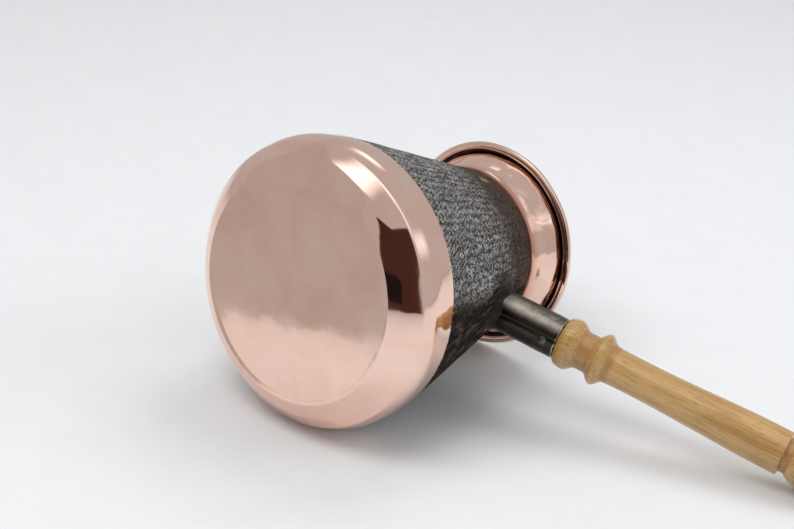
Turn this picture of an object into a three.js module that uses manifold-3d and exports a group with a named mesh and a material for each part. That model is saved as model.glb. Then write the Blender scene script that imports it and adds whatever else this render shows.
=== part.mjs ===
// Copper coffee pot (cezve): a spun copper pot with a rolled lip, lined with tin, and a turned
// wooden handle held by a nail in a steel socket that is brazed to the wall.
// Millimetres, +Z up. The origin is the centre of the base, on the plane that the pot stands on.
// The handle points along +X.

import * as THREE from 'three';
import { mergeVertices } from 'three/addons/utils/BufferGeometryUtils.js';
import Module from 'manifold-3d';

// ---- driving dimensions -------------------------------------------------------------------

// pot
const BELLY_RADIUS = 57; // widest place
const BELLY_HEIGHT = 14.5;
const POT_HEIGHT = 121.6;
const BASE_INSET = 12.2; // how far the flat disc's edge lies inside the belly
const BASE_EDGE_RADIUS = 1.5;
const CHAMFER_INSET = 7; // middle of the domed chamfer
const CHAMFER_HEIGHT = 3;
const RIDGE_INSET = 1.9; // top of the chamfer
const RIDGE_HEIGHT = 8.3;
const RIDGE_EDGE_RADIUS = 2.2;
const WALL_START_INSET = 1.3; // where the tapering wall starts
const WALL_START_HEIGHT = 24.5;
const WALL_START_EDGE_RADIUS = 4;
const NECK_RADIUS = 33.4; // narrowest place
const NECK_DROP = 15.7; // below the top of the lip
const NECK_CURVE_RADIUS = 7;
const WALL_END_REACH = 1.7; // the tapering wall ends this far outside the neck
const WALL_END_DROP = 8.4; // and this far below it
const LIP_REACH = 9.1; // outside of the rolled lip, beyond the neck
const LIP_ROLL_RADIUS = 2.5; // outer radius of the roll, seen in section
const LIP_DROP = 1.2; // straight edge that hangs below the roll
const COPPER_THICKNESS = 1.4;
const LIP_THICKNESS = 1.1;
const TIN_THICKNESS = 0.4;

// handle, measured along its own axis
const SOCKET_LENGTH = 27.3; // from the wall
const SOCKET_RADIUS = 8.4;
const SOCKET_WALL = 1.2;
const SOCKET_DROP = 19.3; // from the end of the tapering wall to the socket's axis, along the wall
const BRAZE_SPREAD = 4.2; // reach of the braze over the wall
const BRAZE_HEIGHT = 3.5; // reach of the braze along the socket
const BRAZE_EDGE = 0.6; // thickness of the braze at its thin edges
const TENON_LENGTH = 20;
const BEAD_FULLNESS = 0.8; // 1 is a half ellipse, and less is fuller
const FIRST_BEAD_RADIUS = 10.5;
const FIRST_BEAD_LENGTH = 8;
const WAIST_RADIUS = 7.75;
const WAIST_LENGTH = 5.6;
const SECOND_BEAD_RADIUS = 10.8;
const SECOND_BEAD_LENGTH = 7.6;
const GRIP_START_RADIUS = 7.7;
const GRIP_THIN_RADIUS = 7.2;
const GRIP_THICK_RADIUS = 8.9;
const GRIP_DIP = 0.5; // pulls the grip's curve down to its thinnest place
const GRIP_THIN_AT = 0.3; // shares of the grip's length
const GRIP_THICK_AT = 0.6;
const GRIP_LENGTH = 75;
const GROOVE_RADIUS = 7.1;
const GROOVE_LENGTH = 2.6;
const GROOVE_STEP = 0.6; // the sloped sides of the groove
const KNOB_RADIUS = 10.6;
const KNOB_LENGTH = 25;
const KNOB_FULLNESS = 1.25; // how the knob's curve is pulled out near its start and its end
const KNOB_END_FULLNESS = 1.1;
const KNOB_WIDE_AT = 0.35; // share of the knob's length

// nail through the underside of the socket
const NAIL_FROM_END = 5.2;
const NAIL_HEAD_RADIUS = 1.75;
const NAIL_HEAD_HEIGHT = 0.8;
const NAIL_SHANK_RADIUS = 0.9;
const NAIL_REACH = 6; // from the outside of the socket to the point
const NAIL_POINT_LENGTH = 1.5;

// clearances
const GAP = 0.3; // between solids that touch in use
const NAIL_SEAT = 0.1; // under the nail's head

// fineness
const POT_SEGMENTS = 64;
const HANDLE_SEGMENTS = 32;
const NAIL_SEGMENTS = 16;
const ARC_STEP = THREE.MathUtils.degToRad(22);
const BEAD_STEPS = 8;
const CURVE_STEPS = 10;
const HEAD_STEPS = 3;
const CORNER_SHARE = 0.48; // most of an edge that one rounded corner takes
const WELD = 1e-5;

// ---- solids -------------------------------------------------------------------------------

const wasm = await Module();
wasm.setup();

function toSolid(geometry) {
  const bare = geometry.clone();
  bare.deleteAttribute('normal');
  bare.deleteAttribute('uv');
  const merged = mergeVertices(bare, WELD);
  return new wasm.Manifold(new wasm.Mesh({
    numProp: 3,
    vertProperties: new Float32Array(merged.attributes.position.array),
    triVerts: new Uint32Array(merged.index.array),
  }));
}

function toGeometry(solid) {
  const mesh = solid.getMesh();
  const geometry = new THREE.BufferGeometry();
  geometry.setAttribute('position', new THREE.BufferAttribute(mesh.vertProperties.slice(), 3));
  geometry.setIndex(new THREE.BufferAttribute(mesh.triVerts.slice(), 1));
  geometry.computeVertexNormals();
  return geometry;
}

// A turned solid round Z. The section goes from the lowest point outside to the top and back inside.
function turn(section, segments) {
  const geometry = new THREE.LatheGeometry(section, segments);
  geometry.rotateX(Math.PI / 2);
  return geometry;
}

// ---- outlines -----------------------------------------------------------------------------

const at = (radius, height) => new THREE.Vector2(radius, height);

// Points along a polyline whose corners are rounded. A corner is { point, radius }.
function roundCorners(corners) {
  const points = [];
  corners.forEach(({ point, radius }, i) => {
    const before = corners[i - 1]?.point;
    const after = corners[i + 1]?.point;
    if (!radius || !before || !after) {
      points.push(point.clone());
      return;
    }
    const into = point.clone().sub(before).normalize();
    const out = after.clone().sub(point).normalize();
    const turning = Math.abs(into.angleTo(out));
    const room = CORNER_SHARE * Math.min(point.distanceTo(before), point.distanceTo(after));
    const reach = Math.min(radius * Math.tan(turning / 2), room);
    const start = point.clone().addScaledVector(into, -reach);
    const end = point.clone().addScaledVector(out, reach);
    const curve = new THREE.QuadraticBezierCurve(start, point, end);
    const steps = Math.ceil(turning / ARC_STEP);
    points.push(...curve.getPoints(steps));
  });
  return points;
}

// The same outline moved sideways by a distance, to the left of its direction.
function offset(points, distance) {
  return points.map((point, i) => {
    const before = points[Math.max(i - 1, 0)];
    const after = points[Math.min(i + 1, points.length - 1)];
    const into = point.clone().sub(before);
    const out = after.clone().sub(point);
    const first = into.lengthSq() > 0 ? into.normalize() : out.clone().normalize();
    const second = out.lengthSq() > 0 ? out.normalize() : first;
    const side = at(-first.y - second.y, first.x + second.x).normalize();
    const miter = distance / side.dot(at(-first.y, first.x));
    return point.clone().addScaledVector(side, miter);
  });
}

function arc(centre, radius, from, to) {
  const steps = Math.max(2, Math.ceil(Math.abs(to - from) / ARC_STEP));
  return Array.from({ length: steps + 1 }, (_, i) => {
    const angle = from + (to - from) * i / steps;
    return at(centre.x + radius * Math.cos(angle), centre.y + radius * Math.sin(angle));
  });
}

// ---- pot ----------------------------------------------------------------------------------

const neckHeight = POT_HEIGHT - NECK_DROP;
const wallStart = at(BELLY_RADIUS - WALL_START_INSET, WALL_START_HEIGHT);
const wallEnd = at(NECK_RADIUS + WALL_END_REACH, neckHeight - WALL_END_DROP);
const lipRadius = NECK_RADIUS + LIP_REACH;
const rollCentre = at(lipRadius - LIP_ROLL_RADIUS, POT_HEIGHT - LIP_ROLL_RADIUS);
const flareTop = at(rollCentre.x - LIP_ROLL_RADIUS + LIP_THICKNESS, rollCentre.y);

// Outside of the pot from the axis to the foot of the rolled lip.
const outside = roundCorners([
  { point: at(0, 0) },
  { point: at(BELLY_RADIUS - BASE_INSET, 0), radius: BASE_EDGE_RADIUS },
  { point: at(BELLY_RADIUS - CHAMFER_INSET, CHAMFER_HEIGHT), radius: BASE_INSET },
  { point: at(BELLY_RADIUS - RIDGE_INSET, RIDGE_HEIGHT), radius: RIDGE_EDGE_RADIUS },
  { point: at(BELLY_RADIUS, BELLY_HEIGHT), radius: BELLY_HEIGHT },
  { point: wallStart, radius: WALL_START_EDGE_RADIUS },
  { point: wallEnd, radius: NECK_CURVE_RADIUS },
  { point: at(NECK_RADIUS, neckHeight), radius: NECK_CURVE_RADIUS },
  { point: flareTop },
]);

const sheet = offset(outside, COPPER_THICKNESS);
sheet[0].x = 0;
sheet[sheet.length - 1] = at(rollCentre.x - LIP_ROLL_RADIUS, rollCentre.y);

// The lip rolls outwards and down, and its free edge hangs clear of the flare.
const lipInner = arc(rollCentre, LIP_ROLL_RADIUS - LIP_THICKNESS, Math.PI, 0);
const lipOuter = arc(rollCentre, LIP_ROLL_RADIUS, 0, Math.PI);
const freeEdge = [
  at(lipInner.at(-1).x, rollCentre.y - LIP_DROP),
  at(lipOuter[0].x, rollCentre.y - LIP_DROP),
];

const potSection = [
  ...outside.slice(0, -1),
  ...lipInner,
  ...freeEdge,
  ...lipOuter,
  ...sheet.slice(0, -1).reverse(),
];

const tinOutside = offset(outside, COPPER_THICKNESS + GAP).slice(0, -1);
const tinInside = offset(outside, COPPER_THICKNESS + GAP + TIN_THICKNESS).slice(0, -1);
tinOutside[0].x = 0;
tinInside[0].x = 0;
const flareRise = outside.at(-1).clone().sub(outside.at(-2));
const tinRise = flareRise.clone().multiplyScalar(1 - GAP / flareRise.length());
tinOutside.push(tinOutside.at(-1).clone().add(tinRise));
tinInside.push(tinInside.at(-1).clone().add(tinRise));
const tinSection = [...tinOutside, ...tinInside.reverse()];

// ---- handle -------------------------------------------------------------------------------

// The socket stands square to the tapering wall. Its axis crosses the axis of the pot.
const wallRise = wallEnd.clone().sub(wallStart).normalize();
const handleTilt = Math.atan2(-wallRise.x, wallRise.y);
const socketFoot = wallEnd.clone().addScaledVector(wallRise, -SOCKET_DROP);
const handleAxisHeight = socketFoot.y - socketFoot.x * Math.tan(handleTilt);
const socketStart = socketFoot.x / Math.cos(handleTilt);
const socketEnd = socketStart + SOCKET_LENGTH;
const socketBore = SOCKET_RADIUS - SOCKET_WALL;

// Everything inside the outside of the pot, and a clearance more: it cuts what meets the wall.
function potBlock() {
  const grown = offset(outside, -GAP);
  grown[0].x = 0;
  grown.push(at(0, grown.at(-1).y));
  return toSolid(turn(grown, POT_SEGMENTS));
}

// A group whose +Z runs along the handle, from the axis of the pot.
const handleFrame = new THREE.Group();
handleFrame.position.set(0, 0, handleAxisHeight);
handleFrame.rotation.set(0, Math.PI / 2 - handleTilt, 0);
handleFrame.updateMatrix();

// A solid of the pot, seen from the handle's frame.
function inHandleFrame(solid) {
  const back = handleFrame.matrix.clone().invert();
  return solid.transform(back.elements);
}

function nailHole() {
  const hole = new THREE.CylinderGeometry(
    NAIL_SHANK_RADIUS + GAP, NAIL_SHANK_RADIUS + GAP, NAIL_REACH + GAP + SOCKET_WALL, NAIL_SEGMENTS);
  hole.rotateZ(Math.PI / 2);
  const middle = SOCKET_RADIUS - (NAIL_REACH + GAP - SOCKET_WALL) / 2;
  hole.translate(middle, 0, socketEnd - NAIL_FROM_END);
  return toSolid(hole);
}

function socketSolid(block) {
  const start = socketStart - SOCKET_RADIUS;
  const tube = turn([
    at(socketBore, start),
    at(SOCKET_RADIUS, start),
    at(SOCKET_RADIUS, socketEnd),
    at(socketBore, socketEnd),
    at(socketBore, start),
  ], HANDLE_SEGMENTS);
  return toSolid(tube).subtract(block).subtract(nailHole());
}

// The braze is a ring with a hollow slope from the socket down to the wall.
function brazeSolid(block) {
  const inner = SOCKET_RADIUS + GAP;
  const outer = inner + BRAZE_SPREAD;
  const top = socketStart + BRAZE_HEIGHT;
  const bottom = socketStart - SOCKET_RADIUS;
  const slope = new THREE.QuadraticBezierCurve(
    at(outer, socketStart + BRAZE_EDGE),
    at(inner + BRAZE_EDGE, socketStart + BRAZE_EDGE),
    at(inner + BRAZE_EDGE, top));
  const ring = turn([
    at(inner, bottom),
    at(outer, bottom),
    ...slope.getPoints(CURVE_STEPS),
    at(inner, top),
    at(inner, bottom),
  ], HANDLE_SEGMENTS);
  return toSolid(ring).subtract(block);
}

// One turned bead: a half round between two places on the axis.
function bead(start, length, radius, foot) {
  return Array.from({ length: BEAD_STEPS + 1 }, (_, i) => {
    const angle = Math.PI * i / BEAD_STEPS;
    const rise = Math.max(Math.sin(angle), 0) ** BEAD_FULLNESS;
    return at(foot + (radius - foot) * rise, start + length * (1 - Math.cos(angle)) / 2);
  });
}

function woodSection() {
  const start = socketEnd + GAP;
  const waist = start + FIRST_BEAD_LENGTH;
  const secondBead = waist + WAIST_LENGTH;
  const grip = secondBead + SECOND_BEAD_LENGTH;
  const groove = grip + GRIP_LENGTH;
  const knob = groove + GROOVE_LENGTH;
  const gripCurve = new THREE.CubicBezierCurve(
    at(GRIP_START_RADIUS, grip),
    at(GRIP_THIN_RADIUS - GRIP_DIP, grip + GRIP_LENGTH * GRIP_THIN_AT),
    at(GRIP_THICK_RADIUS, grip + GRIP_LENGTH * GRIP_THICK_AT),
    at(GRIP_THICK_RADIUS, groove - GROOVE_STEP));
  const knobCurve = new THREE.CubicBezierCurve(
    at(GROOVE_RADIUS + GROOVE_STEP, knob),
    at(KNOB_RADIUS * KNOB_FULLNESS, knob + KNOB_LENGTH * KNOB_WIDE_AT),
    at(KNOB_RADIUS * KNOB_END_FULLNESS, knob + KNOB_LENGTH),
    at(0, knob + KNOB_LENGTH));
  const tenon = socketBore - GAP;
  return [
    at(0, start - TENON_LENGTH),
    at(tenon, start - TENON_LENGTH),
    at(tenon, start),
    ...bead(start, FIRST_BEAD_LENGTH, FIRST_BEAD_RADIUS, WAIST_RADIUS),
    ...bead(secondBead, SECOND_BEAD_LENGTH, SECOND_BEAD_RADIUS, WAIST_RADIUS),
    ...gripCurve.getPoints(CURVE_STEPS).slice(1),
    at(GROOVE_RADIUS, groove),
    at(GROOVE_RADIUS, knob - GROOVE_STEP),
    ...knobCurve.getPoints(CURVE_STEPS),
  ];
}

function nailGeometry() {
  const dome = Array.from({ length: HEAD_STEPS }, (_, i) => {
    const angle = Math.PI / 2 * i / HEAD_STEPS;
    return at(NAIL_HEAD_RADIUS * Math.cos(angle), NAIL_HEAD_HEIGHT * Math.sin(angle));
  });
  const outline = [
    at(0, -NAIL_REACH),
    at(NAIL_SHANK_RADIUS, NAIL_POINT_LENGTH - NAIL_REACH),
    at(NAIL_SHANK_RADIUS, 0),
    ...dome,
    at(0, NAIL_HEAD_HEIGHT),
  ];
  const geometry = turn(outline, NAIL_SEGMENTS);
  geometry.rotateY(Math.PI / 2);
  return geometry;
}

// ---- assembly -----------------------------------------------------------------------------

const copper = new THREE.MeshStandardMaterial({ color: 0xd9a08a, roughness: 0.18, metalness: 1 });
const tin = new THREE.MeshStandardMaterial({ color: 0xc9c9c4, roughness: 0.32, metalness: 1 });
const steel = new THREE.MeshStandardMaterial({ color: 0x2c2926, roughness: 0.4, metalness: 0.9 });
const braze = new THREE.MeshStandardMaterial({ color: 0x24211f, roughness: 0.5, metalness: 0.7 });
const wood = new THREE.MeshStandardMaterial({ color: 0xc79a5c, roughness: 0.4, metalness: 0 });
const nailSteel = new THREE.MeshStandardMaterial({ color: 0x4a4744, roughness: 0.45, metalness: 1 });

function piece(name, geometry, material) {
  const mesh = new THREE.Mesh(geometry, material);
  mesh.name = name;
  return mesh;
}

const block = inHandleFrame(potBlock());
const pot = toGeometry(toSolid(turn(potSection, POT_SEGMENTS)));
const lining = toGeometry(toSolid(turn(tinSection, POT_SEGMENTS)));
const tenonSolid = toSolid(turn(woodSection(), HANDLE_SEGMENTS)).subtract(nailHole());

const nail = piece('handle_nail', nailGeometry(), nailSteel);
nail.position.set(SOCKET_RADIUS + NAIL_SEAT, 0, socketEnd - NAIL_FROM_END);

handleFrame.add(
  piece('handle_socket', toGeometry(socketSolid(block)), steel),
  piece('socket_braze', toGeometry(brazeSolid(block)), braze),
  piece('wooden_handle', toGeometry(tenonSolid), wood),
  nail,
);

const group = new THREE.Group();
group.add(
  piece('pot_body', pot, copper),
  piece('tin_lining', lining, tin),
  handleFrame,
);

export default group;
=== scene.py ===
import math
import random
import bmesh
import bpy
from mathutils import Euler, Matrix, Vector, noise


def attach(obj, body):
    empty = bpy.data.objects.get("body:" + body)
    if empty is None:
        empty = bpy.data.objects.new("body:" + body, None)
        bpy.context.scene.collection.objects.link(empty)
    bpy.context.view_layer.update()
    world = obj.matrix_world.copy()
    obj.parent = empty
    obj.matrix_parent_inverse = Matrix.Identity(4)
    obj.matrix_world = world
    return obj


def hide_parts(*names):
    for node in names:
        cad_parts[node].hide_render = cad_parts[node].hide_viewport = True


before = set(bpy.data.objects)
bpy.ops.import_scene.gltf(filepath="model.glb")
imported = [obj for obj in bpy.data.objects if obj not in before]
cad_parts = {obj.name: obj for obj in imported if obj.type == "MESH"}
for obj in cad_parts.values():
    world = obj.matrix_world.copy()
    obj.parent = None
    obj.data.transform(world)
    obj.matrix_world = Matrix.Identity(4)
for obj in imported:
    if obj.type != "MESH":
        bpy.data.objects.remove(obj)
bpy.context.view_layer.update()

mm = 0.001
print("frame loaded:", sorted(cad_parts))


def paint(red, green, blue):
    # a colour, 0 to 255, turned into the linear numbers that shaders use
    def linear(value):
        value = value / 255
        return value / 12.92 if value <= 0.04045 else ((value + 0.055) / 1.055) ** 2.4
    return (linear(red), linear(green), linear(blue), 1.0)


def smoothStep(low, high, value):
    share = min(max((value - low) / (high - low), 0.0), 1.0)
    return share * share * (3 - 2 * share)


def deselectAll():
    bpy.ops.object.select_all(action="DESELECT")


def selectVerts(piece, wanted):
    # in edit mode: picks the vertices that a rule wants, and nothing else
    bpy.ops.mesh.select_mode(type="VERT")
    bpy.ops.mesh.select_all(action="DESELECT")
    work = bmesh.from_edit_mesh(piece.data)
    for vert in work.verts:
        vert.select_set(bool(wanted(vert)))
    work.select_flush(True)
    bmesh.update_edit_mesh(piece.data)


def selectFaces(piece, wanted):
    bpy.ops.mesh.select_mode(type="FACE")
    bpy.ops.mesh.select_all(action="DESELECT")
    work = bmesh.from_edit_mesh(piece.data)
    for face in work.faces:
        face.select_set(bool(wanted(face)))
    bmesh.update_edit_mesh(piece.data)


def roundCorners(corners, step=7.0):
    # a corner is (radius, height, rounding); the rounding is drawn as a short curve
    points = []
    for i, (radius, height, rounding) in enumerate(corners):
        here = Vector((radius, height))
        if not rounding or i in (0, len(corners) - 1):
            points.append(here)
            continue
        before = Vector(corners[i - 1][:2])
        after = Vector(corners[i + 1][:2])
        turning = (here - before).angle(after - here)
        room = 0.48 * min((here - before).length, (after - here).length)
        reach = min(rounding * math.tan(turning / 2), room)
        start = here + (before - here).normalized() * reach
        end = here + (after - here).normalized() * reach
        steps = max(2, math.ceil(math.degrees(turning) / step))
        for k in range(steps + 1):
            t = k / steps
            points.append(start * (1 - t) ** 2 + here * 2 * t * (1 - t) + end * t * t)
    return [(point.x, point.y) for point in points]


def offsetInside(points, distance):
    # the same outline, moved sideways to the left of its direction
    moved = []
    for i, point in enumerate(points):
        before = Vector(points[max(i - 1, 0)])
        after = Vector(points[min(i + 1, len(points) - 1)])
        along = (after - before).normalized()
        moved.append((max(point[0] - along.y * distance, 0.0), point[1] + along.x * distance))
    return moved


def divide(start, end, parts):
    # places between two points, without the first
    return [(start[0] + (end[0] - start[0]) * k / parts, start[1] + (end[1] - start[1]) * k / parts)
            for k in range(1, parts + 1)]


def ringArc(centre, radius, fromAngle, toAngle, parts):
    return [(centre[0] + radius * math.cos(angle), centre[1] + radius * math.sin(angle))
            for angle in (fromAngle + (toAngle - fromAngle) * k / parts for k in range(parts + 1))]


def turnOnLathe(name, outline, segments, twist=None):
    # A ring is added at the first point and drawn out ring by ring along the outline.
    # An outline that comes back to its start is welded there, and other ends close in a pole.
    deselectAll()
    radius, height = outline[0]
    bpy.ops.mesh.primitive_circle_add(vertices=segments, radius=radius * mm, location=(0, 0, height * mm))
    piece = bpy.context.object
    piece.name = name
    piece.data.name = name
    bpy.ops.object.transform_apply(location=True, rotation=True, scale=True)
    bpy.ops.object.mode_set(mode="EDIT")
    bpy.ops.mesh.select_mode(type="VERT")
    bpy.ops.mesh.select_all(action="SELECT")
    for newRadius, newHeight in outline[1:]:
        rise = (newHeight - height) * mm
        bpy.ops.mesh.extrude_edges_move(TRANSFORM_OT_translate={"value": (0, 0, rise)})
        scale = newRadius / radius
        centre = (0, 0, newHeight * mm)
        bpy.ops.transform.resize(value=(scale, scale, 1), center_override=centre)
        turn = twist(newHeight) if twist else 0
        if turn:
            bpy.ops.transform.rotate(value=turn, orient_axis="Z", center_override=centre)
        radius, height = newRadius, newHeight
    closed = (Vector(outline[0]) - Vector(outline[-1])).length < 1e-6
    if not closed:
        bpy.ops.mesh.extrude_edges_move()
        bpy.ops.mesh.merge(type="CENTER")
        selectVerts(piece, lambda vert: vert.index < segments)
        bpy.ops.mesh.extrude_edges_move()
        bpy.ops.mesh.merge(type="CENTER")
    bpy.ops.mesh.select_all(action="SELECT")
    bpy.ops.mesh.remove_doubles(threshold=2e-6)
    bpy.ops.mesh.normals_make_consistent(inside=False)
    bpy.ops.mesh.select_all(action="DESELECT")
    return piece


def finishShape(piece, angle=40):
    if bpy.context.mode != "OBJECT":
        bpy.ops.object.mode_set(mode="OBJECT")
    deselectAll()
    piece.select_set(True)
    bpy.context.view_layer.objects.active = piece
    bpy.ops.object.shade_smooth_by_angle(angle=math.radians(angle))
    print("  ", piece.name, len(piece.data.polygons), "faces")
    return piece


def writeAttribute(piece, name, rule):
    layer = piece.data.attributes.new(name, "FLOAT", "POINT")
    layer.data.foreach_set("value", [rule(vert.co) for vert in piece.data.vertices])


bench = {}  # holds the material that is being mixed


def newMaterial(name, **settings):
    material = bpy.data.materials.new(name)
    material.use_nodes = True
    bench["tree"] = material.node_tree
    bench["shader"] = material.node_tree.nodes["Principled BSDF"]
    for socket, value in settings.items():
        bench["shader"].inputs[socket.replace("_", " ")].default_value = value
    return material


def feed(socket, value):
    # a node's output is linked, and anything else is set as a value
    if isinstance(value, bpy.types.NodeSocket):
        bench["tree"].links.new(value, socket)
    else:
        socket.default_value = value


def addNode(kind, inputs=None, **settings):
    made = bench["tree"].nodes.new("ShaderNode" + kind)
    for name, value in settings.items():
        setattr(made, name, value)
    for name, value in (inputs or {}).items():
        feed(made.inputs[name], value)
    return made


def plug(socket, value):
    feed(bench["shader"].inputs[socket], value)


def objectPlace(scale=(1, 1, 1), place=None):
    # object coordinates, in metres, turned into a piece's own frame when place is given
    coordinates = addNode("TexCoord").outputs["Object"]
    if place:
        coordinates = addNode("Mapping", {
            "Vector": coordinates, "Location": place["location"], "Rotation": place["rotation"],
        }, vector_type="TEXTURE").outputs["Vector"]
    return addNode("Mapping", {"Vector": coordinates, "Scale": scale}).outputs["Vector"]


def noiseValue(vector, scale, detail=3.0, roughness=0.5, distortion=0.0):
    return addNode("TexNoise", {
        "Vector": vector, "Scale": scale, "Detail": detail,
        "Roughness": roughness, "Distortion": distortion,
    }).outputs["Fac"]


def ranged(value, fromLow, fromHigh, toLow, toHigh, smooth=True):
    return addNode("MapRange", {
        "Value": value, "From Min": fromLow, "From Max": fromHigh, "To Min": toLow, "To Max": toHigh,
    }, interpolation_type="SMOOTHSTEP" if smooth else "LINEAR").outputs["Result"]


def combined(operation, first, second):
    made = addNode("Math", operation=operation)
    feed(made.inputs[0], first)
    feed(made.inputs[1], second)
    return made.outputs["Value"]


def times(first, second):
    return combined("MULTIPLY", first, second)


def plus(first, second):
    return combined("ADD", first, second)


def minus(first, second):
    return combined("SUBTRACT", first, second)


def larger(first, second):
    return combined("MAXIMUM", first, second)


def humped(value, rise, fall, low=0, high=1):
    # climbs from low to high over the stretch rise, and is back at 0 after the stretch fall
    climb = ranged(value, *rise, low, high)
    return times(climb, ranged(value, *fall, 1, 0))


def axes(place):
    return addNode("SeparateXYZ", {"Vector": place}).outputs


def turnRound(split):
    # the angle round the Z axis
    return combined("ARCTAN2", split["Y"], split["X"])


def lengthOf(vector):
    return addNode("VectorMath", {0: vector}, operation="LENGTH").outputs["Value"]


def farFrom(place, centre, stretch=(1.0, 1.0, 1.0)):
    # distance from a place, counted more or less along some directions
    away = addNode("VectorMath", {0: place, 1: centre}, operation="SUBTRACT").outputs["Vector"]
    away = addNode("VectorMath", {0: away, 1: stretch}, operation="MULTIPLY").outputs["Vector"]
    return lengthOf(away)


def mixedColour(factor, first, second, blendType="MIX"):
    made = addNode("Mix", data_type="RGBA", blend_type=blendType)
    for socket, value in ((0, factor), (6, first), (7, second)):
        feed(made.inputs[socket], value)
    return made.outputs[2]


def stained(tone, pattern, low, high, most, colour):
    # the colour comes in where the pattern passes from low to high
    return mixedColour(ranged(pattern, low, high, 0, most), tone, colour)


def ramped(value, stops):
    made = addNode("ValToRGB", {"Fac": value})
    ramp = made.color_ramp
    while len(ramp.elements) < len(stops):
        ramp.elements.new(0.5)
    for element, (position, colour) in zip(ramp.elements, stops):
        element.position = position
        element.color = colour
    return made.outputs["Color"]


def bumped(height, distance, strength=1.0, before=None):
    inputs = {"Height": height, "Distance": distance, "Strength": strength}
    if before:
        inputs["Normal"] = before
    return addNode("Bump", inputs).outputs["Normal"]


def attributeValue(name):
    return addNode("Attribute", attribute_name=name).outputs["Fac"]


# metres, in the pot's own frame; the pot lies on its side, so the floor is tilted
view = {
    "eye": (0.3903, -0.3369, -0.5422),
    "target": (0.0458, -0.0394, -0.0104),
    "roll": 4.77,
    "lens": 90.7,
    "floorWay": (0.187, 0.973, 0.138),  # from the pot straight down to the floor
    "floorReach": 1.7,  # from the middle of the paper to its sides
    "floorParts": 20,
}


def addCamera():
    eye = Vector(view["eye"])
    forward = (Vector(view["target"]) - eye).normalized()
    upward = -Vector(view["floorWay"]).normalized()
    right = forward.cross(upward).normalized()
    top = right.cross(forward)
    turned = Matrix((right, top, -forward)).transposed().to_4x4()
    turned = turned @ Matrix.Rotation(math.radians(view["roll"]), 4, "Z")
    bpy.ops.object.camera_add(location=eye, rotation=turned.to_euler())
    camera = bpy.context.object
    camera.name = "mainCamera"
    camera.data.lens = view["lens"]
    camera.data.sensor_width = 36
    camera.data.sensor_fit = "HORIZONTAL"
    camera.data.clip_start = 0.01
    camera.data.clip_end = 20
    bpy.context.scene.camera = camera
    # the room's own directions: right of the camera, up from the floor, and towards the camera
    level = (forward - upward * forward.dot(upward)).normalized()
    return {"right": level.cross(upward).normalized(), "up": upward, "near": -level}


room = addCamera()
bpy.context.scene.view_settings.view_transform = "Standard"


def roomWay(elevation, turn):
    # a direction by its height above the floor and its turn from the camera's side, to the right
    e, a = math.radians(elevation), math.radians(turn)
    level = room["near"] * math.cos(a) + room["right"] * math.sin(a)
    return level * math.cos(e) + room["up"] * math.sin(e)


roomCentre = Vector((0.0, 0.0, 0.06))


def facing(way):
    return way.to_track_quat("Z", "Y").to_euler()


def addSoftbox(name, lamp):
    elevation, turn, distance = lamp["at"]
    way = roomWay(elevation, turn)
    bpy.ops.object.light_add(type="AREA", location=roomCentre + way * distance, rotation=facing(way))
    light = bpy.context.object
    light.name = name
    light.data.shape = "RECTANGLE"
    light.data.size, light.data.size_y = lamp["size"]
    light.data.energy = lamp["power"]
    light.data.color = lamp["colour"]
    light.visible_camera = False
    light.visible_glossy = False


def cardMaterial(name, colour, soft):
    # a glowing or dark board whose edges fade out over a share of its size
    material = newMaterial(name)
    material.node_tree.nodes.clear()
    split = addNode("SeparateXYZ", {"Vector": addNode("TexCoord").outputs["UV"]})
    solid = None
    for side in ("X", "Y"):
        edge = minus(split.outputs[side], 0.5)
        edge = combined("ABSOLUTE", edge, 0.0)
        edge = ranged(edge, 0.5 - soft, 0.5, 1, 0)
        solid = edge if solid is None else times(solid, edge)
    glow = addNode("Emission", {"Color": colour, "Strength": 1.0})
    clear = addNode("BsdfTransparent")
    mix = addNode("MixShader", {0: solid, 1: clear.outputs[0], 2: glow.outputs[0]})
    addNode("OutputMaterial", {"Surface": mix.outputs[0]})
    return material


def addCard(name, plan, standsOn=None):
    # a board that only polished metal sees; it hangs round the pot, or stands on the floor beside the base
    elevation, turn, distance = plan["at"]
    width, height = plan["size"]
    way = roomWay(elevation, turn)
    place = roomCentre + way * distance
    if standsOn is not None:
        place = way * distance + room["up"] * (height / 2 - standsOn)
    deselectAll()
    bpy.ops.mesh.primitive_plane_add(size=1, location=place, rotation=facing(way))
    card = bpy.context.object
    card.name = name
    card.scale = (width, height, 1)
    bpy.ops.object.transform_apply(location=True, rotation=True, scale=True)
    card.data.materials.append(cardMaterial(name + "Paint", plan["glow"] + (1,), plan["soft"]))
    card.visible_camera = False
    card.visible_diffuse = False
    card.visible_shadow = False
    card.visible_transmission = False


def addFloor(depth):
    # a sheet of paper under the pot, seen from above only
    material = newMaterial("paper", Roughness=0.75, Specular_IOR_Level=0.25)
    spots = noiseValue(objectPlace(), 60, detail=4)
    spots = ranged(spots, 0.3, 0.7, 0, 1)
    tone = mixedColour(spots, (0.80, 0.815, 0.835, 1), (0.815, 0.83, 0.85, 1))
    plug("Base Color", tone)
    clear = addNode("BsdfTransparent")
    backSide = addNode("NewGeometry").outputs["Backfacing"]
    mix = addNode("MixShader", {0: backSide, 1: bench["shader"].outputs[0], 2: clear.outputs[0]})
    feed(material.node_tree.nodes["Material Output"].inputs["Surface"], mix.outputs[0])
    deselectAll()
    way = Vector(view["floorWay"]).normalized()
    parts = view["floorParts"]
    bpy.ops.mesh.primitive_grid_add(x_subdivisions=parts, y_subdivisions=parts, size=2 * view["floorReach"],
                                    location=way * depth, rotation=facing(-way))
    floor = bpy.context.object
    floor.name = "paperFloor"
    bpy.ops.object.transform_apply(location=True, rotation=True, scale=True)
    floor.data.materials.append(material)


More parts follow.
